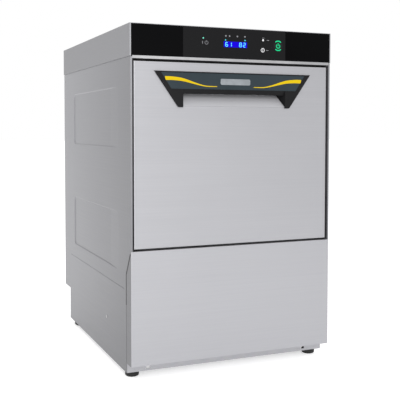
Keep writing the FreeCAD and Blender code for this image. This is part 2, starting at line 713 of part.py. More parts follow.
def door_outer_skin():
    """Door front pan with the sloping finger recess pressed into it."""
    z0, z1 = DOOR_BOTTOM, DOOR_TOP
    shell = box(-DOOR_HALF, DOOR_HALF, DOOR_FACE, DOOR_BACK - 1.5, z0, z1)
    shell = round_edges(shell, 1.6,
                        lambda e: upright_at(-DOOR_HALF, DOOR_FACE)(e)
                        or upright_at(DOOR_HALF, DOOR_FACE)(e))
    hollow = box(-DOOR_HALF + SHEET, DOOR_HALF - SHEET, DOOR_FACE + SHEET, DOOR_BACK,
                 z0 + SHEET, z1 - SHEET)
    pocket = sheet_yz(pocket_outline(SHEET), -POCKET_HALF - SHEET, POCKET_HALF + SHEET)
    recess = sheet_yz(pocket_outline(0), -POCKET_HALF, POCKET_HALF)
    skin = shell.cut(hollow).fuse(pocket).cut(recess)
    for cutter in band(BRACKET_SLOT[0], BRACKET_SLOT[1], DOOR_FACE + SHEET, DOOR_BACK + 1,
                       z0 - 1, PIVOT_Z + 12):
        skin = skin.cut(cutter)
    return skin.removeSplitter()


def door_inner_panel():
    """Door liner with two low runners that the rack slides over."""
    half = DOOR_HALF - SHEET
    z0, z1 = DOOR_BOTTOM + SHEET, DOOR_TOP - SHEET
    pan = box(-half, half, DOOR_BACK - 6, DOOR_BACK, z0, z1)
    pan = pan.cut(box(-half + SHEET, half - SHEET, DOOR_BACK - 7, DOOR_BACK - SHEET,
                      z0 + SHEET, z1 - SHEET))
    for x in (-150, 150):
        runner = box(x - 6, x + 6, DOOR_BACK - SHEET, DOOR_BACK + 1, 310, 600)
        pan = pan.fuse(runner)
    for cutter in band(BRACKET_SLOT[0], BRACKET_SLOT[1], DOOR_BACK - 8, DOOR_BACK + 2,
                       z0 - 1, PIVOT_Z + 12):
        pan = pan.cut(cutter)
    return pan.removeSplitter()


SEAL_WIDTH = 5.5         # the seal's outer edge beyond the chamber's mouth
SEAL_INSET = 0.5         # its inner edge beyond the mouth


def door_seal():
    """Rubber frame that closes against the front frame."""
    y1 = FRAME_FACE - 0.3
    outer, inner = OPENING_HALF + SEAL_WIDTH, OPENING_HALF + SEAL_INSET
    seal = box(-outer, outer, DOOR_BACK, y1, OPENING_BOTTOM - SEAL_WIDTH, OPENING_TOP + SEAL_WIDTH)
    return seal.cut(box(-inner, inner, DOOR_BACK - 1, y1 + 1,
                        OPENING_BOTTOM - SEAL_INSET, OPENING_TOP + SEAL_INSET))


def handle_outline(inset):
    """Front outline of the handle: a tapered bar on two short legs."""
    top = HANDLE_TOP - inset
    return [(-HANDLE_TOP_HALF + 1.7 * inset, top), (HANDLE_TOP_HALF - 1.7 * inset, top),
            (LEG_OUTER - inset, LEG_BOTTOM + inset), (LEG_INNER + inset, LEG_BOTTOM + inset),
            (LEG_INNER + inset, BAR_BOTTOM), (-LEG_INNER - inset, BAR_BOTTOM),
            (-LEG_INNER - inset, LEG_BOTTOM + inset), (-LEG_OUTER + inset, LEG_BOTTOM + inset)]


def slope_x(z):
    """Half width of the handle's slanting sides at height z."""
    share = (z - LEG_BOTTOM) / (HANDLE_TOP - LEG_BOTTOM)
    return LEG_OUTER + share * (HANDLE_TOP_HALF - LEG_OUTER)


PLATE_INSET = 12.0
PLATE_SEAT = 1.0


def plate_outline(play):
    """Front outline of the decor plate in the handle's face."""
    low, high = LIP_TOP + play, PLATE_TOP - play
    low_half = slope_x(LIP_TOP) - PLATE_INSET + 1 - play
    high_half = slope_x(PLATE_TOP) - PLATE_INSET - play
    return [(-high_half, high), (high_half, high), (low_half, low), (-low_half, low)]


def door_handle_frame():
    """Black moulded handle: bar with a hooked lip, legs and recess cheeks."""
    body = sheet_xz(handle_outline(0), 0, DOOR_FACE)

    def leg_corner(edge):
        ends = [v.Point for v in edge.Vertexes]
        flat = abs(ends[0].x - ends[-1].x) < 0.05 and abs(ends[0].z - ends[-1].z) < 0.05
        return flat and abs(ends[0].z - LEG_BOTTOM) < 0.1 and abs(abs(ends[0].x) - LEG_OUTER) < 0.1
    body = round_edges(body, 5.0, leg_corner)
    hook = box(-LEG_INNER, LEG_INNER, DOOR_FACE - 0.5, HOOK_BACK, BAR_BOTTOM, POCKET_TOP - 0.5)
    back = POCKET_BACK - 1.2
    profile = sheet_yz([(DOOR_FACE - 0.5, POCKET_CREASE + 1.5), (back, BAR_BOTTOM + 1.5),
                        (back, POCKET_TOP - 0.5), (DOOR_FACE - 0.5, POCKET_TOP - 0.5)],
                       CHEEK_BACK, POCKET_HALF - 0.3)
    taper = sheet_xy([(LEG_INNER, 0), (LEG_INNER, DOOR_FACE), (CHEEK_BACK, POCKET_BACK),
                      (POCKET_HALF, POCKET_BACK), (POCKET_HALF, 0)], LEG_BOTTOM, HANDLE_TOP)
    cheek = profile.common(taper)
    handle = join([body, hook] + both_sides(cheek))
    lip = sheet_yz([(-1, LIP_TOP), (0, LIP_TOP), (5.0, BAR_BOTTOM), (5.0, BAR_BOTTOM - 1),
                    (-1, BAR_BOTTOM - 1)], -LEG_INNER, LEG_INNER)
    handle = handle.cut(lip)
    handle = handle.cut(sheet_xz(plate_outline(0), -1, PLATE_SEAT))
    return handle.removeSplitter()


def handle_decor_plate():
    """Tinted trim plate let into the bar, with a bevelled top edge."""
    plate = sheet_xz(plate_outline(0.1), 0.2, PLATE_SEAT)
    bevel = sheet_yz([(0, PLATE_TOP - 3.0), (0.2, PLATE_TOP - 3.0), (0.8, PLATE_TOP + 1),
                      (0, PLATE_TOP + 1)], -HALF, HALF)
    return plate.cut(bevel)


# ---- door hinge ----------------------------------------------------------
def hinge_brackets():
    """Fixed hinge plates, through the front frame, bolted behind it."""
    x0, x1 = BRACKET_X
    nose = rod(BRACKET_HALF, (x0, PIVOT_Y, PIVOT_Z), AXIS_X, x1 - x0)
    web = box(x0, x1, PIVOT_Y, 70, PIVOT_Z - BRACKET_HALF, PIVOT_Z + BRACKET_HALF)
    flange = box(x0, x1 + 11, FRAME_FACE + TANK_WALL, FRAME_FACE + TANK_WALL + 3,
                 PIVOT_Z - 16, PIVOT_Z + 16)
    bracket = join([nose, web, flange])
    bracket = bracket.cut(rod(PIN_R, (x0 - 1, PIVOT_Y, PIVOT_Z), AXIS_X, x1 - x0 + 2))
    return group(both_sides(bracket))


def hinge_pins():
    """Pins fixed in the hinge plates, which the door's blocks turn on."""
    return group(both_sides(rod(PIN_R, (199.5, PIVOT_Y, PIVOT_Z), AXIS_X, 20)))


def door_hinge_blocks():
    """Bearing blocks inside the door, each side of the hinge plates."""
    blocks = []
    for x0, x1 in ((199.0, BRACKET_SLOT[0] - 0.4), (BRACKET_SLOT[1] + 0.4, DOOR_HALF - SHEET - 0.2)):
        block = box(x0, x1, DOOR_FACE + SHEET, 30, DOOR_BOTTOM + SHEET, PIVOT_Z + 12)
        bore = rod(PIN_R + PIN_CLEARANCE, (x0 - 1, PIVOT_Y, PIVOT_Z), AXIS_X, x1 - x0 + 2)
        blocks += both_sides(block.cut(bore))
    return group(blocks)


# ---- water circuit -------------------------------------------------------
PUMP_Y, PUMP_Z = 140.0, 96.0
IMPELLER_R = 38.0
VOLUTE_R = 50.0
VOLUTE_X = (-22.0, 12.0)
MOTOR_R = 46.0
MOTOR_END = 150.0
SHAFT_R = 5.0
DELIVERY_OFFSET = 34.0
DELIVERY_RISE = 44.0
SUCTION_PORT = (-45.0, ARM_Y - 45.0)
DRAIN_PUMP = (-150.0, 150.0, 84.0)


def wash_pump_housing():
    """Volute with its suction neck, delivery neck and feet."""
    x0, x1 = VOLUTE_X
    body = rod(VOLUTE_R, (x0, PUMP_Y, PUMP_Z), AXIS_X, x1 - x0)
    suction = rod(20.0, (x0 - 24, PUMP_Y, PUMP_Z), AXIS_X, 26)
    delivery = rod(14.0, (x0 + 17, PUMP_Y + DELIVERY_OFFSET, PUMP_Z), AXIS_Z, DELIVERY_RISE)
    base = box(x0 + 4, x1 - 4, PUMP_Y - 40, PUMP_Y + 40, BASE_TOP, PUMP_Z - 30)
    housing = join([body, suction, delivery, base])
    housing = housing.cut(rod(IMPELLER_R + 4, (x0 + 4, PUMP_Y, PUMP_Z), AXIS_X, x1 - x0 - 8))
    housing = housing.cut(rod(16.0, (x0 - 25, PUMP_Y, PUMP_Z), AXIS_X, 30))
    housing = housing.cut(rod(10.5, (x0 + 17, PUMP_Y + DELIVERY_OFFSET, PUMP_Z), AXIS_Z,
                              DELIVERY_RISE + 1))
    return housing.cut(rod(SHAFT_R + 0.5, (x1 - 6, PUMP_Y, PUMP_Z), AXIS_X, 8))


def wash_pump_motor():
    """Motor with cooling ribs and an end cover."""
    x0 = VOLUTE_X[1]
    body = rod(MOTOR_R - 6, (x0, PUMP_Y, PUMP_Z), AXIS_X, MOTOR_END - x0 - 22)
    ribs = []
    for step in range(24):
        rib = box(x0 + 14, MOTOR_END - 26, -1.2, 1.2, MOTOR_R - 8, MOTOR_R)
        rib.rotate(V(0, 0, 0), AXIS_X, 15 * step)
        rib.translate(V(0, PUMP_Y, PUMP_Z))
        ribs.append(rib)
    cover = rod(MOTOR_R, (MOTOR_END - 24, PUMP_Y, PUMP_Z), AXIS_X, 24)
    saddle = box(40, 110, PUMP_Y - 30, PUMP_Y + 30, BASE_TOP, PUMP_Z - 34)
    motor = join([body, cover, saddle] + ribs)
    return motor.cut(rod(SHAFT_R + RUNNING, (x0 - 1, PUMP_Y, PUMP_Z), AXIS_X, 40))


def wash_pump_impeller():
    """Closed impeller with curved vanes on its shaft."""
    x0 = VOLUTE_X[0] + 6
    disc = rod(IMPELLER_R, (x0 + 14, PUMP_Y, PUMP_Z), AXIS_X, 3)
    hub = rod(11.0, (x0 + 3, PUMP_Y, PUMP_Z), AXIS_X, 14)
    shaft = rod(SHAFT_R, (x0 + 3, PUMP_Y, PUMP_Z), AXIS_X, VOLUTE_X[1] + 36 - x0 - 3)
    pieces = [disc, hub, shaft]
    for step in range(6):
        vane = box(x0 + 4, x0 + 15, -1.2, 1.2, 8, IMPELLER_R - 3)
        vane.rotate(V(0, 0, 8), AXIS_X, 28)
        vane.rotate(V(0, 0, 0), AXIS_X, 60 * step)
        vane.translate(V(0, PUMP_Y, PUMP_Z))
        pieces.append(vane)
    return join(pieces)


def drain_pump():
    """Small sealed drain pump on its bracket."""
    x, y, z = DRAIN_PUMP
    body = rod(30.0, (x, y, z), AXIS_Y, 34)
    motor = rod(24.0, (x, y + 34, z), AXIS_Y, 46)
    neck = rod(12.0, (x, y - 26, z), AXIS_Y, 28)
    outlet = rod(11.0, (x, y + 17, z), AXIS_Z, 46)
    saddle = box(x - 22, x + 22, y + 4, y + 70, BASE_TOP, z - 18)
    return join([body, motor, neck, outlet, saddle])


BOILER = (140.0, 115.0, 72.0)                      # x, z, radius
BOILER_Y = (286.0, 462.0)


def rinse_boiler():
    """Pressure-less stainless rinse boiler lying front to back, hollow."""
    x, z, radius = BOILER
    y0, y1 = BOILER_Y
    shell = rod(radius, (x, y0, z), AXIS_Y, y1 - y0)
    shell = shell.makeFillet(14.0, [e for e in shell.Edges if e.Length > 100 and e.Closed])
    inner = rod(radius - 1.5, (x, y0 + 1.5, z), AXIS_Y, y1 - y0 - 3)
    inner = inner.makeFillet(13.0, [e for e in inner.Edges if e.Length > 100 and e.Closed])
    necks = [rod(8.0, (x + dx, y1 - 30, z + radius - 6), AXIS_Z, 20) for dx in (-20, 20)]
    saddle = box(x - 30, x + 30, y0 + 40, y1 - 40, BASE_TOP, z - radius + 10)
    return join([shell, saddle] + necks).cut(inner)


def boiler_heater():
    """Flanged element screwed into the boiler's front end."""
    x, z, _ = BOILER
    y0 = BOILER_Y[0]
    flange = rod(32.0, (x, y0 - 8, z), AXIS_Y, 8)
    terminals = [rod(4.0, (x + dx, y0 - 22, z + 8), AXIS_Y, 16) for dx in (-14, 0, 14)]
    return join([flange] + terminals)


def inlet_valve():
    """Solenoid valve behind the water inlet."""
    x, z = INLET_X - 62.0, SERVICE_Z
    body = box(x - 14, x + 14, 466, 496, z - 12, z + 12)
    coil = rod(15.0, (x, 481, z + 12), AXIS_Z, 34)
    tail = rod(9.0, (x, 440, z), AXIS_Y, 28)
    return join([body, coil, tail])


DOSING_X, DOSING_Y, DOSING_Z = 175.0, 70.0, 150.0


def dosing_pump(x):
    """Peristaltic dosing pump: a case with an open roller chamber."""
    y, z = DOSING_Y, DOSING_Z
    case = box(x - 26, x + 26, y - 20, y + 10, z - 26, z + 26)
    motor = rod(18.0, (x, y + 10, z), AXIS_Y, 40)
    stand = box(x - 20, x + 20, y - 10, y + 6, BASE_TOP, z - 24)
    case = join([case, motor, stand])
    case = case.cut(rod(21.0, (x, y - 21, z), AXIS_Y, 19))
    return case.cut(rod(3.0 + RUNNING, (x, y - 3, z), AXIS_Y, 20))


def dosing_rotor(x):
    """Three rollers on a plate on the pump's shaft."""
    y, z = DOSING_Y, DOSING_Z
    shaft = rod(3.0, (x, y - 18, z), AXIS_Y, 30)
    plate = lathe([(0, 0), (17, 0), (17, 2), (0, 2)], (0, 0, 0))
    plate.rotate(V(0, 0, 0), AXIS_X, -90)
    plate.translate(V(x, y - 18, z))
    pieces = [shaft, plate]
    for step in range(3):
        angle = math.radians(120 * step + 30)
        centre = (x + 13 * math.cos(angle), y - 18, z + 13 * math.sin(angle))
        pieces.append(rod(4.5, centre, AXIS_Y, 14))
    return join(pieces)


def electrical_box():
    """Sheet box with the contactor and terminals, with a lipped lid."""
    x0, x1, y0, y1, z0, z1 = -216.0, -130.0, 300.0, 460.0, BASE_TOP, 170.0
    case = box(x0, x1, y0, y1, z0, z1)
    lid = box(x0 - 1.5, x1 + 1.5, y0 - 1.5, y1 + 1.5, z1 - 8, z1 + 2)
    ribs = [box(x1, x1 + 1, y, y + 4, z0 + 20, z1 - 20) for y in (320, 340, 360, 380, 400, 420)]
    return join([case, lid] + ribs)


def internal_hoses():
    """Suction, delivery, drain and fill hoses."""
    x0 = VOLUTE_X[0]
    neck = x0 + 17
    px, py = SUCTION_PORT
    under = SUMP_FLOOR - 30
    suction = pipe([(px, py, SUMP_FLOOR - TANK_WALL), (px, py, under), (px - 45, py, under),
                    (px - 45, PUMP_Y, PUMP_Z), (x0 - 24, PUMP_Y, PUMP_Z)], 12.0, 16.0)
    rise = PUMP_Z + DELIVERY_RISE
    outlet_y = PUMP_Y + DELIVERY_OFFSET
    delivery = pipe([(neck, outlet_y, rise), (neck, outlet_y, rise + 20), (0, ARM_Y, rise + 20),
                     (0, ARM_Y, LOWER_HUB_FOOT)], 10.0, 15.0)
    dx, dy, dz = DRAIN_PUMP
    drain = pipe([(dx, dy + 17, dz + 46), (dx, dy + 17, dz + 74), (-108, 230, dz + 74),
                  (-108, 300, 70), (-108, 478, SERVICE_Z), (OUTLET_X, 478, SERVICE_Z),
                  (OUTLET_X, SERVICE_RECESS - 14, SERVICE_Z)], 9.0, 14.0)
    return group([suction, delivery, drain])


# ---- connections on the service panel ------------------------------------
INLET_THREAD_R = 13.2
OUTLET_R = 11.0


def water_inlet():
    """Threaded spigot for the water hose, G 3/4."""
    spigot = rod(INLET_THREAD_R, (INLET_X, SERVICE_RECESS + SHEET + 4, SERVICE_Z), AXIS_Y, 22)
    collar = rod(18.0, (INLET_X, SERVICE_RECESS + SHEET, SERVICE_Z), AXIS_Y, 4)
    tail = rod(10.8, (INLET_X, SERVICE_RECESS - 14, SERVICE_Z), AXIS_Y, 16)
    knuckle = rod(11.0, (INLET_X, SERVICE_RECESS - 34, SERVICE_Z), AXIS_Y, 22)
    elbow = rod(9.0, (INLET_X + 4, SERVICE_RECESS - 23, SERVICE_Z), -AXIS_X, 52)
    fitting = join([spigot, collar, tail, knuckle, elbow])
    return fitting.cut(rod(8.0, (INLET_X, SERVICE_RECESS - 10, SERVICE_Z), AXIS_Y, 60))


def drain_outlet():
    """Spigot that the drain hose is clamped on."""
    y0 = SERVICE_RECESS + SHEET
    spigot = rod(OUTLET_R, (OUTLET_X, y0 + 3, SERVICE_Z), AXIS_Y, 30)
    collar = rod(17.0, (OUTLET_X, y0, SERVICE_Z), AXIS_Y, 3)
    tail = rod(11.8, (OUTLET_X, SERVICE_RECESS - 14, SERVICE_Z), AXIS_Y, 16)
    bore = rod(8.5, (OUTLET_X, SERVICE_RECESS - 10, SERVICE_Z), AXIS_Y, 60)
    return join([spigot, collar, tail]).cut(bore)


def cable_gland():
    """Hexagonal gland for the mains lead."""
    y0 = SERVICE_RECESS + SHEET
    across = 12.5
    corners = [(GLAND_X + across * math.cos(math.radians(60 * i)),
                SERVICE_Z + across * math.sin(math.radians(60 * i))) for i in range(6)]
    nut = sheet_xz(corners, y0, y0 + 8)
    dome = rod(10.0, (GLAND_X, y0 + 8, SERVICE_Z), AXIS_Y, 12)
    tail = rod(9.8, (GLAND_X, SERVICE_RECESS - 10, SERVICE_Z), AXIS_Y, 12)
    bore = rod(5.5, (GLAND_X, SERVICE_RECESS - 12, SERVICE_Z), AXIS_Y, 50)
    return join([nut, dome, tail]).cut(bore)


# ---- everything ----------------------------------------------------------
def build():
    os.makedirs("parts", exist_ok=True)
    side = left_side_panel()
    save("left_side_panel", side)
    save("right_side_panel", mirror_x(side))
    save("top_cover", top_cover())
    save("rear_panel", rear_panel())
    save("rear_lower_panel", rear_lower_panel())
    save("rear_lower_shelf", rear_lower_shelf())
    save("base_frame", base_frame())
    save("lower_front_panel", lower_front_panel())
    save("front_frame", front_frame())
    save("console_glass", console_glass())
    save("console_housing", console_housing())
    save("console_trim", console_trim())
    save("lcd_display", lcd_display())
    save("key_lenses", key_lenses())
    save("control_board", control_board())
    save("cabinet_screws", cabinet_screws())
    names = ("foot_front_left", "foot_front_right", "foot_rear_left", "foot_rear_right")
    for name, (x, y) in zip(names, foot_places()):
        save(name, foot(x, y))

    save("wash_tank", wash_tank())
    save("sump", sump())
    guide = rack_guide()
    save("rack_guide_left", guide)
    save("rack_guide_right", mirror_x(guide))
    save("tank_filter", tank_filter())
    save("pump_filter", pump_filter())
    save("tank_heater", tank_heater())
    save("temperature_probe", temperature_probe())

    low = LOWER_FLANGE_TOP
    hub, ring, cap = hub_parts(low, LOWER_HUB_FOOT)
    save("lower_hub", hub)
    high = UPPER_FLANGE_BOTTOM
    upper = [turned_over(piece, high) for piece in hub_parts(high, high - 12)]
    stem = rod(9.0, (0, ARM_Y, high + 8), AXIS_Z, RISER_Z - high - 8)
    socket = rod(RISER_R + RUNNING, (0, ARM_Y - 30, RISER_Z), AXIS_Y, 60)
    save("upper_hub", upper[0].fuse(stem).cut(socket))
    save("arm_caps", group([ring, cap, upper[1], upper[2]]))
    save("lower_wash_arm", turned(wash_arm(low, True), 28))
    save("lower_rinse_arm", turned(rinse_arm(low, True), 75))
    save("upper_wash_arm", turned(turned_over(wash_arm(high, True), high), -20))
    save("upper_rinse_arm", turned(turned_over(rinse_arm(high, True), high), 50))
    save("riser_pipe", riser_pipe())

    save("door_outer_skin", door_outer_skin())
    save("door_inner_panel", door_inner_panel())
    save("door_seal", door_seal())
    save("door_handle_frame", door_handle_frame())
    save("handle_decor_plate", handle_decor_plate())
    save("door_hinge_blocks", door_hinge_blocks())
    save("hinge_brackets", hinge_brackets())
    save("hinge_pins", hinge_pins())

    save("wash_pump_housing", wash_pump_housing())
    save("wash_pump_motor", wash_pump_motor())
    save("wash_pump_impeller", wash_pump_impeller())
    save("drain_pump", drain_pump())
    save("rinse_boiler", rinse_boiler())
    save("boiler_heater", boiler_heater())
    save("inlet_valve", inlet_valve())
    for name, x in (("detergent", -DOSING_X), ("rinse_aid", DOSING_X)):
        save(name + "_pump", dosing_pump(x))
        save(name + "_rotor", dosing_rotor(x))
    save("electrical_box", electrical_box())
    save("internal_hoses", internal_hoses())
    save("water_inlet", water_inlet())
    save("drain_outlet", drain_outlet())
    save("cable_gland", cable_gland())


build()
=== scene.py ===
import bpy
import bmesh
import math
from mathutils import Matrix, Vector


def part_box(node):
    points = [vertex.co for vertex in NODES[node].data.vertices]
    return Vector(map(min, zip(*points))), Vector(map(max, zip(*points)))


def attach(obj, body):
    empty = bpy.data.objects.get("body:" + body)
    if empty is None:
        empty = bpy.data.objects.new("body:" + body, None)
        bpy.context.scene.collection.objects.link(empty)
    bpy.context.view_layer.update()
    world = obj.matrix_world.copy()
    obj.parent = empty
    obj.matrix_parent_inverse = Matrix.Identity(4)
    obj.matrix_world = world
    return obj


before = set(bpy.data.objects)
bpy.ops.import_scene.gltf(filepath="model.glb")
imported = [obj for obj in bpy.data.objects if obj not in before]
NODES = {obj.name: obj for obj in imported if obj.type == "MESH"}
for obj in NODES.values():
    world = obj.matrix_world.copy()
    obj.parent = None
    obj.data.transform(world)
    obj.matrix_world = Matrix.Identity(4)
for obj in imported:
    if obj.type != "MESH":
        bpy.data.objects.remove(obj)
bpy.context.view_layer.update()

MM = 0.001
WHITE = (1.0, 1.0, 1.0, 1)

CAMERA_PLACE = (-0.6796, -1.6621, 0.5067)
CAMERA_TURN = 21.93       # degrees to the machine's left of straight on
CAMERA_TILT = 2.387       # degrees down
CAMERA_LENS = 66.42
CAMERA_SHIFT = (0.05, -0.10)


# ---- camera, light and floor ---------------------------------------------
def make_camera():
    """Three-quarter view of the front and the left side, nearly level."""
    data = bpy.data.cameras.new("camera")
    data.lens = CAMERA_LENS
    data.sensor_width = 36.0
    data.shift_x, data.shift_y = CAMERA_SHIFT
    camera = bpy.data.objects.new("camera", data)
    camera.location = CAMERA_PLACE
    turn, tilt = math.radians(CAMERA_TURN), math.radians(CAMERA_TILT)
    camera.rotation_euler = (math.pi / 2 - tilt, 0, -turn)
    bpy.context.scene.collection.objects.link(camera)
    bpy.context.scene.camera = camera


def area_light(name, place, target, size, power):
    """A soft box at a place, turned to its target, in metres and watts."""
    data = bpy.data.lights.new(name, "AREA")
    data.shape = "RECTANGLE"
    data.size, data.size_y = size
    data.energy = power
    lamp = bpy.data.objects.new(name, data)
    lamp.location = place
    aim = Vector(target) - Vector(place)
    lamp.rotation_euler = aim.to_track_quat("-Z", "Y").to_euler()
    bpy.context.scene.collection.objects.link(lamp)


def make_studio():
    """White surroundings, two soft boxes and a pale floor."""
    scene = bpy.context.scene
    scene.view_settings.view_transform = "Standard"
    world = bpy.data.worlds.new("studio")
    world.use_nodes = True
    sky = world.node_tree.nodes["Background"]
    sky.inputs["Color"].default_value = WHITE
    sky.inputs["Strength"].default_value = 1.0
    scene.world = world
    area_light("front_box", (-0.9, -3.0, 1.3), (0, -0.2, 0.35), (1.6, 1.6), 60)
    area_light("top_box", (0.3, -1.2, 3.0), (0, 0, 0.4), (2.0, 2.0), 20)

    bpy.ops.mesh.primitive_plane_add(size=60, location=(0, 0, 0))
    floor = bpy.context.object
    floor.name = "floor"
    mat = bpy.data.materials.new("floor")
    mat.use_nodes = True
    shader = mat.node_tree.nodes["Principled BSDF"]
    shader.inputs["Base Color"].default_value = (0.80, 0.80, 0.80, 1)
    shader.inputs["Roughness"].default_value = 0.9
    shader.inputs["Specular IOR Level"].default_value = 0.0
    shader.inputs["Emission Color"].default_value = WHITE
    shader.inputs["Emission Strength"].default_value = 0.5
    floor.data.materials.append(mat)


# ---- material kit --------------------------------------------------------
class Material:
    """A principled material whose colour, roughness and relief vary."""

    def __init__(self, name, metallic=0.0, **sockets):
        self.mat = bpy.data.materials.new(name)
        self.mat.use_nodes = True
        self.tree = self.mat.node_tree
        self.shader = self.tree.nodes["Principled BSDF"]
        self.shader.inputs["Metallic"].default_value = metallic
        for key, value in sockets.items():
            self.shader.inputs[key.replace("_", " ")].default_value = value
        self.coords = self.tree.nodes.new("ShaderNodeTexCoord")

    def link(self, source, target):
        self.tree.links.new(source, target)

    def noise(self, stretch, scale=1.0, detail=3.0, rough=0.55):
        """Noise in object space; stretch gives its fineness along X, Y and Z."""
        mapping = self.tree.nodes.new("ShaderNodeMapping")
        mapping.inputs["Scale"].default_value = stretch
        self.link(self.coords.outputs["Object"], mapping.inputs["Vector"])
        node = self.tree.nodes.new("ShaderNodeTexNoise")
        node.inputs["Scale"].default_value = scale
        node.inputs["Detail"].default_value = detail
        node.inputs["Roughness"].default_value = rough
        self.link(mapping.outputs["Vector"], node.inputs["Vector"])
        return node.outputs["Fac"]

    def spread(self, source, low, high, start=0.3, end=0.7):
        """Remap a 0 to 1 pattern to low to high."""
        node = self.tree.nodes.new("ShaderNodeMapRange")
        node.inputs["From Min"].default_value = start
        node.inputs["From Max"].default_value = end
        node.inputs["To Min"].default_value = low
        node.inputs["To Max"].default_value = high
        self.link(source, node.inputs["Value"])
        return node.outputs["Result"]

    def mix(self, factor, dark, light):
        """Blend two colours (or colour outputs) by a pattern."""
        node = self.tree.nodes.new("ShaderNodeMix")
        node.data_type = "RGBA"
        self.link(factor, node.inputs["Factor"])
        colour_a, colour_b = node.inputs[6], node.inputs[7]
        for socket, colour in ((colour_a, dark), (colour_b, light)):
            if isinstance(colour, tuple):
                socket.default_value = (*colour, 1)
            else:
                self.link(colour, socket)
        blended = node.outputs[2]
        return blended

    def maths(self, operation, a, b):
        """A sum, product, limit or comparison of two values or outputs."""
        node = self.tree.nodes.new("ShaderNodeMath")
        node.operation = operation
        for socket, value in zip(node.inputs, (a, b)):
            if isinstance(value, (int, float)):
                socket.default_value = value
            else:
                self.link(value, socket)
        return node.outputs["Value"]

    def axis(self, letter, output="Object"):
        """One component of the object-space position or normal."""
        node = self.tree.nodes.new("ShaderNodeSeparateXYZ")
        self.link(self.coords.outputs[output], node.inputs["Vector"])
        return node.outputs[letter]

    def colour(self, source):
        self.link(source, self.shader.inputs["Base Color"])

    def roughness(self, source):
        self.link(source, self.shader.inputs["Roughness"])

    def relief(self, source, depth, strength=1.0):
        """Bump of the given depth in metres."""
        node = self.tree.nodes.new("ShaderNodeBump")
        node.inputs["Distance"].default_value = depth
        node.inputs["Strength"].default_value = strength
        self.link(source, node.inputs["Height"])
        self.link(node.outputs["Normal"], self.shader.inputs["Normal"])


SHADE_KEEPS = 0.46             # how much of its tone is left where painted shade darkens the sheet
# painted light: the lighter, non-metallic colour that brightens the shaded finger recess
PAINTED_RECESS_LIGHT = (0.31, 0.31, 0.325)
# near-black painted shade beside an open joint
PAINTED_JOINT_SHADE = (0.012, 0.012, 0.013)


def brushed(name, dark, light, rough, metallic=0.92, fine=900.0, shade_slope=None, recess=None,
            joint=None):
    """Brushed sheet: fine grain lines that run level, with soft clouding.

    The shade slope argument gives a 0 to 1 slope from the material; painted shade darkens the sheet
    where it is 0.
    The recess argument is 1 where painted light brightens the sheet: a lighter, non-metallic colour
    in place of the brushed one.
    The joint argument is 1 on the sheet's edge beside an open joint, where near-black painted shade
    stands in for the joint's shadow.
    """
    m = Material(name, metallic=metallic)
    level = m.noise((5.0, 5.0, fine), detail=2.0)
    across = m.noise((5.0, fine, 5.0), detail=2.0)
    top = m.maths("GREATER_THAN", m.maths("ABSOLUTE", m.axis("Z", "Normal"), 0.0), 0.7)
    grain = m.maths("ADD", m.maths("MULTIPLY", level, m.maths("SUBTRACT", 1.0, top)),
                    m.maths("MULTIPLY", across, top))
    cloud = m.noise((2.2, 2.2, 2.2), detail=3.0)
    shade = m.maths("ADD", m.maths("MULTIPLY", grain, 0.6), m.maths("MULTIPLY", cloud, 0.4))
    tone = m.mix(m.spread(shade, 0.0, 1.0), dark, light)
    # painted shade: a darker copy of the brushed tone where the shade slope is 0
    if shade_slope:
        shaded_tone = m.mix(m.spread(shade, 0.0, 1.0), tuple(c * SHADE_KEEPS for c in dark),
                     tuple(c * SHADE_KEEPS for c in light))
        tone = m.mix(shade_slope(m), shaded_tone, tone)
    # painted light: a lighter, non-metallic colour where the recess mask is 1
    if recess:
        inside = recess(m)
        tone = m.mix(inside, tone, PAINTED_RECESS_LIGHT)
        m.link(m.spread(inside, metallic, 0.0, 0.0, 1.0), m.shader.inputs["Metallic"])
    # painted shade: near black on the sheet's edge beside an open joint
    if joint:
        tone = m.mix(joint(m), tone, PAINTED_JOINT_SHADE)
    m.colour(tone)
    m.roughness(m.spread(shade, rough - 0.05, rough + 0.05))
    m.relief(grain, 0.00002, 0.35)
    return m.mat


def facing_front(m):
    """0 on the faces that look sideways, which get painted shade, 1 elsewhere."""
    sideways = m.maths("GREATER_THAN", m.maths("ABSOLUTE", m.axis("X", "Normal"), 0.0), 0.7)
    return m.maths("SUBTRACT", 1.0, sideways)


def in_finger_recess(m):
    """1 on the recess pressed into the door under the handle's bar, where painted light lifts the
    bar's shade.
    """
    lo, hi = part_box("door_handle_frame")
    half_width, below_top, behind_bar = 0.1196, 0.012, 0.0032
    beside = m.maths("LESS_THAN", m.maths("ABSOLUTE", m.axis("X"), 0.0), half_width)
    behind = m.maths("GREATER_THAN", m.axis("Y"), lo.y + behind_bar)
    under = m.maths("LESS_THAN", m.axis("Z"), hi.z - below_top)
    return m.maths("MULTIPLY", m.maths("MULTIPLY", beside, behind), under)


def beside_front_fold(m):
    """1 on the side panel's edge along the upper joint with the lower panel's fold, where painted
    shade stands in for the open joint's shadow.

    The fold's edge runs upright and then slants forward to the panel's top corner.
    """
    bottom, turn, top = 0.152, 0.215, 0.259
    gap, slant, width = 0.0015, 0.6, 0.003
    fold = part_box("lower_front_panel")[1]
    rise = m.maths("MAXIMUM", m.maths("SUBTRACT", m.axis("Z"), turn), 0.0)
    inward = m.maths("ADD", m.maths("SUBTRACT", m.axis("Y"), fold.y + gap),
                     m.maths("MULTIPLY", rise, slant))
    near = m.maths("LESS_THAN", inward, width)
    upper = m.maths("GREATER_THAN", m.axis("Z"), bottom)
    under = m.maths("LESS_THAN", m.axis("Z"), top)
    return m.maths("MULTIPLY", near, m.maths("MULTIPLY", upper, under))


def towards_front_foot(m):
    """0 at the side's lower front corner, 1 at its upper rear corner: painted shade deepens towards
    the lower front corner.
    """
    tall, half_depth = 0.715, 0.2825
    height = m.spread(m.axis("Z"), 0.0, 0.5, 0.0, tall)
    depth = m.spread(m.axis("Y"), 0.0, 0.5, -half_depth, half_depth)
    return m.maths("ADD", height, depth)


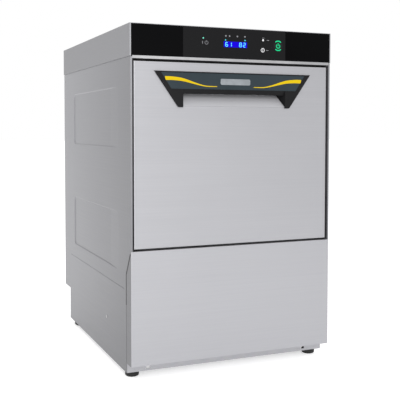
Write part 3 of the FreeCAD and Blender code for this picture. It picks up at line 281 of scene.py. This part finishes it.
def moulded(name, dark, light, rough, pebble=1400.0, depth=0.00003, metallic=0.0, shine=0.2):
    """Moulded plastic or rubber with a fine pebbled skin."""
    m = Material(name, metallic=metallic, Specular_IOR_Level=shine)
    skin = m.noise((pebble, pebble, pebble), detail=2.0)
    patch = m.noise((9.0, 9.0, 9.0), detail=3.0)
    m.colour(m.mix(m.spread(patch, 0.0, 1.0), dark, light))
    m.roughness(m.spread(skin, rough - 0.07, rough + 0.07))
    m.relief(skin, depth, 0.5)
    return m.mat


def smooth_metal(name, dark, light, rough, scale=30.0, metallic=1.0):
    """Cast, machined or galvanised metal with soft mottling."""
    m = Material(name, metallic=metallic)
    mottle = m.noise((scale, scale, scale), detail=4.0, rough=0.6)
    m.colour(m.mix(m.spread(mottle, 0.0, 1.0), dark, light))
    m.roughness(m.spread(mottle, rough - 0.08, rough + 0.08))
    m.relief(m.noise((scale * 20,) * 3, detail=2.0), 0.00002, 0.4)
    return m.mat


def glowing(name, base, glow, power):
    """Lit print or lamp, a little uneven as through a diffuser."""
    m = Material(name, Roughness=0.35, Specular_IOR_Level=0.03, Emission_Strength=power)
    uneven = m.noise((160.0, 160.0, 160.0), detail=2.0)
    m.colour(m.mix(m.spread(uneven, 0.0, 1.0), base, tuple(min(1.0, c * 1.2) for c in base)))
    dimmer = tuple(c * 0.85 for c in glow)
    m.link(m.mix(m.spread(uneven, 0.0, 1.0), dimmer, glow), m.shader.inputs["Emission Color"])
    return m.mat


def lens_material():
    """Dark start key; the lamps left of it are lit, the first one greener."""
    m = Material("indicator_lenses", Roughness=0.35, Specular_IOR_Level=0.05,
                 Emission_Strength=1.0)
    x, after_first, after_lamps = m.axis("X"), -0.05, 0.05
    uneven = m.spread(m.noise((600.0, 600.0, 600.0), detail=2.0), 0.0, 1.0)
    blue = m.mix(uneven, (0.06, 0.60, 0.75), (0.10, 0.75, 0.90))
    lamps = m.mix(m.maths("GREATER_THAN", x, after_first), (0.22, 0.90, 0.68), blue)
    m.link(m.mix(m.maths("GREATER_THAN", x, after_lamps), lamps, (0.0, 0.0, 0.0)),
           m.shader.inputs["Emission Color"])
    m.colour(m.mix(uneven, (0.008, 0.009, 0.009), (0.013, 0.014, 0.014)))
    return m.mat


def console_glass_material():
    """Gloss black glass with a slightly greyer printed field in the middle."""
    m = Material("console_black_glass", IOR=1.5, Specular_IOR_Level=0.03)
    x = m.axis("X")
    field = m.maths("MULTIPLY", m.maths("GREATER_THAN", x, FIELD_LEFT),
                    m.maths("LESS_THAN", x, FIELD_RIGHT))
    drift = m.spread(m.noise((3.0, 3.0, 3.0), detail=1.0), 0.0, 1.0)
    ends = m.mix(drift, (0.0012, 0.0012, 0.0014), (0.0024, 0.0024, 0.0027))
    middle = m.mix(drift, (0.0075, 0.0075, 0.008), (0.0095, 0.0095, 0.010))
    m.colour(m.mix(field, ends, middle))
    m.roughness(m.spread(m.noise((40.0,) * 3), 0.10, 0.16))
    return m.mat


# ---- mesh kit ------------------------------------------------------------
def new_piece(name, bm, mat, body="cabinet", bevel=0.0):
    """Turn a bmesh into a named piece that rides on a body."""
    bmesh.ops.recalc_face_normals(bm, faces=bm.faces)
    mesh = bpy.data.meshes.new(name)
    bm.to_mesh(mesh)
    bm.free()
    piece = bpy.data.objects.new(name, mesh)
    bpy.context.scene.collection.objects.link(piece)
    mesh.materials.append(mat)
    if bevel:
        mod = piece.modifiers.new("edge", "BEVEL")
        mod.width = bevel
        mod.segments = 2
        mod.limit_method = "ANGLE"
    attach(piece, body)
    return piece


def add_plate(bm, outline, y_front, y_back):
    """A closed plate: an (x, z) outline between two depths, in metres."""
    front = [bm.verts.new((x, y_front, z)) for x, z in outline]
    back = [bm.verts.new((x, y_back, z)) for x, z in outline]
    bm.faces.new(front)
    bm.faces.new(list(reversed(back)))
    for i in range(len(outline)):
        j = (i + 1) % len(outline)
        bm.faces.new((front[j], front[i], back[i], back[j]))


def add_strip(bm, upper, lower, y_front, y_back):
    """A closed strip between two (x, z) lines with as many points each."""
    for i in range(len(upper) - 1):
        corners = (upper[i], upper[i + 1], lower[i + 1], lower[i])
        front = [(x, y_front, z) for x, z in corners]
        back = [(x, y_back, z) for x, z in corners]
        bm.faces.new([bm.verts.new(p) for p in front])
        bm.faces.new([bm.verts.new(p) for p in reversed(back)])
    rim = list(upper) + list(reversed(lower))
    for i in range(len(rim)):
        (x0, z0), (x1, z1) = rim[i], rim[(i + 1) % len(rim)]
        bm.faces.new([bm.verts.new(p) for p in ((x1, y_front, z1), (x0, y_front, z0),
                                                (x0, y_back, z0), (x1, y_back, z1))])
    bmesh.ops.remove_doubles(bm, verts=bm.verts, dist=1e-6)


def arc_points(cx, cz, radius, start, end, steps=24):
    """Points along an arc, angles in degrees from +X towards +Z."""
    turns = [math.radians(start + (end - start) * i / steps) for i in range(steps + 1)]
    return [(cx + radius * math.cos(t), cz + radius * math.sin(t)) for t in turns]


def rounded(x0, x1, z0, z1, radius, steps=5):
    """Outline of a rounded rectangle."""
    points = []
    for cx, cz, start in ((x1 - radius, z1 - radius, 0), (x0 + radius, z1 - radius, 90),
                          (x0 + radius, z0 + radius, 180), (x1 - radius, z0 + radius, 270)):
        points += arc_points(cx, cz, radius, start, start + 90, steps)
    return points


# ---- console graphics ----------------------------------------------------
FIELD_LEFT = -0.1174      # the glass's printed field, in metres like all below
FIELD_RIGHT = 0.1171
PRINT = 0.00012           # how far the print stands proud of the glass
FINE_SKIN = 0.000005      # depth of its grain
THIN = 0.0008             # width of a thin printed line
POWER_KEY = (-0.0661, 0.6831)
UPPER_KEY = (0.0637, 0.6932)
LOWER_KEY = (0.0630, 0.6723)
START_KEY = (0.0997, 0.6831)
DOTS_X = (-0.0226, -0.0141, 0.0037, 0.0212)   # over the display
DOTS_Z = 0.6983
FIGURES = (("6", 0.0040), ("1", 0.0125), ("8", 0.0357), ("2", 0.0446))   # from its left end


def graphics(name, shapes, mat):
    """A group of flat printed marks on the console's front."""
    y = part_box("console_glass")[0].y
    bm = bmesh.new()
    for kind, *data in shapes:
        if kind == "plate":
            add_plate(bm, data[0], y - PRINT, y + PRINT)
        else:
            cx, cz, inner, outer, start, end = data
            add_strip(bm, arc_points(cx, cz, outer, start, end),
                      arc_points(cx, cz, inner, start, end), y - PRINT, y + PRINT)
    return new_piece(name, bm, mat)


def bar(x0, x1, z0, z1):
    """An upright or level stroke between two X and two Z."""
    return ("plate", [(x0, z0), (x1, z0), (x1, z1), (x0, z1)])


def ring(cx, cz, radius, line, start=0, end=360):
    """A circle, or part of one, drawn with a line of the given width."""
    return ("arc", cx, cz, radius - line / 2, radius + line / 2, start, end)


def disc(cx, cz, radius):
    """A filled dot of 24 points."""
    return ("plate", arc_points(cx, cz, radius, 0, 345, 23))


SEGMENTS = {"a": (0, 1, "level"), "b": (1, 0.5, "upright"), "c": (1, 0, "upright"),
            "d": (0, 0, "level"), "e": (0, 0, "upright"), "f": (0, 0.5, "upright"),
            "g": (0, 0.5, "level")}
DIGITS = {"1": "bc", "2": "abdeg", "6": "acdefg", "8": "abcdefg"}


def digit(character, x, z, width, height, line):
    """Seven-segment figure with its lower left corner at (x, z)."""
    marks = []
    for name in DIGITS[character]:
        u, v, way = SEGMENTS[name]
        x0, z0 = x + u * width, z + v * height
        gap = line * 0.3
        if way == "level":
            marks.append(bar(x0 + gap, x0 + width - gap, z0 - line / 2, z0 + line / 2))
        else:
            marks.append(bar(x0 - line / 2, x0 + line / 2, z0 + gap, z0 + height / 2 - gap))
    return marks


def display_figures(mat):
    """Two temperatures in seven-segment figures on the display."""
    lo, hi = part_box("lcd_display")
    height = (hi.z - lo.z) * 0.70
    width, line = height * 0.60, height * 0.16
    base = lo.z + (hi.z - lo.z) * 0.15
    marks = []
    for character, start in FIGURES:
        marks += digit(character, lo.x + start, base, width, height, line)
    graphics("display_figures", marks, mat)


def status_signs(mat):
    """Power sign, dots over the display and dashes at the two small keys."""
    x, z = POWER_KEY
    beside_power = bar(-0.0756, -0.0744, 0.6804, 0.6858)
    circle = ring(x, z, 0.0036, THIN, 125, 415)
    stem = bar(x - THIN / 2, x + THIN / 2, z + 0.0004, z + 0.0047)
    dots = [disc(dot, DOTS_Z, 0.0017) for dot in DOTS_X]
    beside_upper = bar(0.0727, 0.0781, 0.6928, 0.6938)
    beside_lower = bar(0.0710, 0.0765, 0.6717, 0.6727)
    over_upper = bar(0.0612, 0.0666, 0.6974, 0.6982)
    graphics("status_signs", [beside_power, circle, stem, *dots,
                              beside_upper, beside_lower, over_upper], mat)


def key_signs(mat):
    """A dot on the upper small key, and a ring with a stroke on the lower one."""
    x, z = LOWER_KEY
    stroke = bar(x - 0.0005, x + 0.0005, z - 0.0033, z + 0.0033)
    graphics("key_signs", [disc(*UPPER_KEY, 0.0022), ring(x, z, 0.0038, 0.0013), stroke], mat)


def start_sign(mat):
    """Start key: two arcs round a smaller power sign."""
    x, z = START_KEY
    radius = (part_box("key_lenses")[1].x - x) * 0.93
    over, under = (ring(x, z, radius, 0.0021, start, start + 84) for start in (48, 228))
    circle = ring(x, z - 0.0008, 0.0042, 0.0016, 130, 410)
    stem = bar(x - 0.0007, x + 0.0007, z - 0.0006, z + 0.0056)
    graphics("start_sign", [over, under, circle, stem], mat)


# ---- handle trim ---------------------------------------------------------
STRIPE = ((155.8, 612.5, 604.9), (140.6, 612.3, 605.1), (121.8, 610.4, 603.8),
          (107.5, 606.8, 601.3), (93.2, 602.2, 598.2), (78.8, 598.0, 595.2),
          (64.2, 595.2, 593.3), (42.0, 594.7, 593.5))   # x, top and bottom, mm


def smooth(line, steps=6):
    """A Catmull-Rom curve through a list of points."""
    padded = [line[0], *line, line[-1]]
    points = []
    for a, b, c, d in zip(padded, padded[1:], padded[2:], padded[3:]):
        for i in range(steps):
            t = i / steps
            points.append(tuple(
                0.5 * (2 * q + (r - p) * t + (2 * p - 5 * q + 4 * r - w) * t * t
                       + (3 * q - p - 3 * r + w) * t ** 3) for p, q, r, w in zip(a, b, c, d)))
    return points + [line[-1]]


def accent(side, mat):
    """One tapering stripe of the trim plate, level outside and thin inside."""
    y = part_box("handle_decor_plate")[0].y
    slope, proud, sunk = 0.7, 0.15 * MM, 0.2 * MM
    curve = smooth(STRIPE)
    upper = [(side * (x + slope) * MM, top * MM) for x, top, _ in curve]
    lower = [(side * (x - slope) * MM, low * MM) for x, _, low in curve]
    bm = bmesh.new()
    add_strip(bm, upper, lower, y - proud, y + sunk)
    name = "accent_left" if side < 0 else "accent_right"
    return new_piece(name, bm, mat, body="door")


def blank_badge(mat):
    """Plain name-plate blank in the middle of the trim plate."""
    lo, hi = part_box("handle_decor_plate")
    half_width, half_height, corner = 34 * MM, 6.2 * MM, 3 * MM
    proud, sunk = 0.4 * MM, 0.2 * MM
    middle = (lo.z + hi.z) / 2 - 0.5 * MM
    outline = rounded(-half_width, half_width, middle - half_height, middle + half_height, corner)
    bm = bmesh.new()
    add_plate(bm, outline, lo.y - proud, lo.y + sunk)
    return new_piece("badge_blank", bm, mat, body="door", bevel=0.2 * MM)


# ---- dressing the CAD nodes ----------------------------------------------
def dress(mat, *names, bevel=0.0):
    """Give CAD nodes a finished material and, where asked, softened edges."""
    for name in names:
        node = NODES[name]
        node.data.materials.clear()
        node.data.materials.append(mat)
        if bevel:
            mod = node.modifiers.new("edge", "BEVEL")
            mod.width = bevel
            mod.segments = 2
            mod.limit_method = "ANGLE"
            mod.angle_limit = math.radians(40)
            mod.harden_normals = True


def dress_everything():
    """One material for each kind of sheet, casting, moulding, glass and lamp."""
    # Painted shade darkens the sideways faces of the front panel, base and door.
    dress(brushed("panel_steel", (0.318, 0.318, 0.335), (0.348, 0.348, 0.366), 0.45, 0.8,
                  shade_slope=facing_front), "lower_front_panel", "base_frame")
    # Painted light brightens the door's finger recess under the handle's bar.
    dress(brushed("door_steel", (0.315, 0.315, 0.331), (0.343, 0.343, 0.360), 0.45, 0.8,
                  shade_slope=facing_front, recess=in_finger_recess), "door_outer_skin")
    # Painted shade deepens towards the side panels' lower front corners.
    dress(brushed("side_steel", (0.312, 0.312, 0.330), (0.338, 0.338, 0.356), 0.45, 0.8,
                  shade_slope=towards_front_foot, joint=beside_front_fold),
          "left_side_panel", "right_side_panel")
    dress(brushed("cover_steel", (0.245, 0.245, 0.258), (0.266, 0.266, 0.279), 0.45, 0.8),
          "top_cover")
    liner = brushed("chamber_steel", (0.46, 0.47, 0.48), (0.52, 0.53, 0.54), 0.38, fine=600.0)
    dress(liner, "front_frame", "wash_tank", "sump", "rack_guide_left", "rack_guide_right",
          "tank_filter", "pump_filter", "door_inner_panel", "rinse_boiler")
    zinc = smooth_metal("galvanised_sheet", (0.38, 0.39, 0.40), (0.43, 0.44, 0.45), 0.45, 45.0)
    dress(zinc, "rear_panel", "rear_lower_panel", "rear_lower_shelf", "hinge_brackets",
          "electrical_box")
    dress(smooth_metal("bright_strip", (0.36, 0.36, 0.37), (0.42, 0.42, 0.43), 0.35, 12.0),
          "console_trim")
    dress(smooth_metal("screw_steel", (0.30, 0.30, 0.31), (0.42, 0.42, 0.43), 0.35, 90.0),
          "cabinet_screws", "hinge_pins")
    tube = smooth_metal("arm_steel", (0.52, 0.53, 0.54), (0.62, 0.63, 0.64), 0.25, 25.0)
    dress(tube, "riser_pipe", "lower_hub", "upper_hub", "tank_heater", "lower_rinse_arm",
          "upper_rinse_arm")
    dress(smooth_metal("motor_casting", (0.30, 0.31, 0.32), (0.42, 0.43, 0.44), 0.5, 60.0),
          "wash_pump_motor")
    dress(smooth_metal("brass", (0.55, 0.38, 0.14), (0.68, 0.50, 0.22), 0.3, 50.0),
          "water_inlet", "boiler_heater", "temperature_probe")

    dress(console_glass_material(), "console_glass")
    dress(moulded("console_moulding", (0.012, 0.012, 0.013), (0.018, 0.018, 0.019), 0.5),
          "console_housing")
    dress(moulded("handle_moulding", (0.005, 0.005, 0.0055), (0.008, 0.008, 0.009), 0.5, 1800.0,
                  shine=0.1), "door_handle_frame", bevel=0.0007)
    dress(moulded("foot_moulding", (0.012, 0.012, 0.012), (0.022, 0.022, 0.022), 0.55),
          "foot_front_left", "foot_front_right", "foot_rear_left", "foot_rear_right", bevel=0.0004)
    dress(moulded("seal_rubber", (0.05, 0.05, 0.055), (0.08, 0.08, 0.085), 0.6, 700.0), "door_seal",
          bevel=0.0006)
    dress(moulded("arm_moulding", (0.10, 0.17, 0.26), (0.14, 0.22, 0.32), 0.4, 500.0),
          "lower_wash_arm", "upper_wash_arm", "arm_caps", bevel=0.0004)
    dress(moulded("pump_moulding", (0.02, 0.02, 0.022), (0.035, 0.035, 0.04), 0.5, 600.0),
          "wash_pump_housing", "wash_pump_impeller", "drain_pump", "detergent_pump",
          "rinse_aid_pump", "detergent_rotor", "rinse_aid_rotor", "door_hinge_blocks",
          "cable_gland", "drain_outlet")
    dress(moulded("hose_rubber", (0.016, 0.016, 0.017), (0.026, 0.026, 0.028), 0.6, 400.0),
          "internal_hoses")
    dress(moulded("valve_moulding", (0.55, 0.55, 0.52), (0.62, 0.62, 0.6), 0.45), "inlet_valve")
    dress(moulded("circuit_board", (0.01, 0.09, 0.035), (0.015, 0.12, 0.05), 0.4, 900.0),
          "control_board")
    dress(moulded("trim_plate", (0.018, 0.026, 0.031), (0.024, 0.033, 0.039), 0.42, 2500.0,
                  metallic=0.2, shine=0.12), "handle_decor_plate")
    dress(glowing("display_window", (0.0, 0.0, 0.06), (0.012, 0.0, 0.70), 1.0), "lcd_display")
    dress(lens_material(), "key_lenses")


make_camera()
make_studio()
dress_everything()
display_figures(glowing("lit_cyan", (0.05, 0.25, 0.35), (0.10, 0.62, 1.0), 1.0))
status_signs(moulded("print_grey", (0.13, 0.13, 0.14), (0.18, 0.18, 0.19), 0.5, 900.0, FINE_SKIN))
key_signs(moulded("print_white", (0.40, 0.40, 0.41), (0.48, 0.48, 0.49), 0.5, 900.0, FINE_SKIN))
start_sign(glowing("lit_green", (0.005, 0.20, 0.08), (0.006, 0.48, 0.20), 0.9))
yellow = moulded("accent_yellow", (0.425, 0.295, 0.002), (0.455, 0.320, 0.003), 0.45, 1500.0,
                 0.000008, shine=0.08)
accent(-1, yellow)
accent(1, yellow)
blank_badge(smooth_metal("badge_metal", (0.21, 0.225, 0.24), (0.26, 0.28, 0.30), 0.4, 60.0, 0.8))
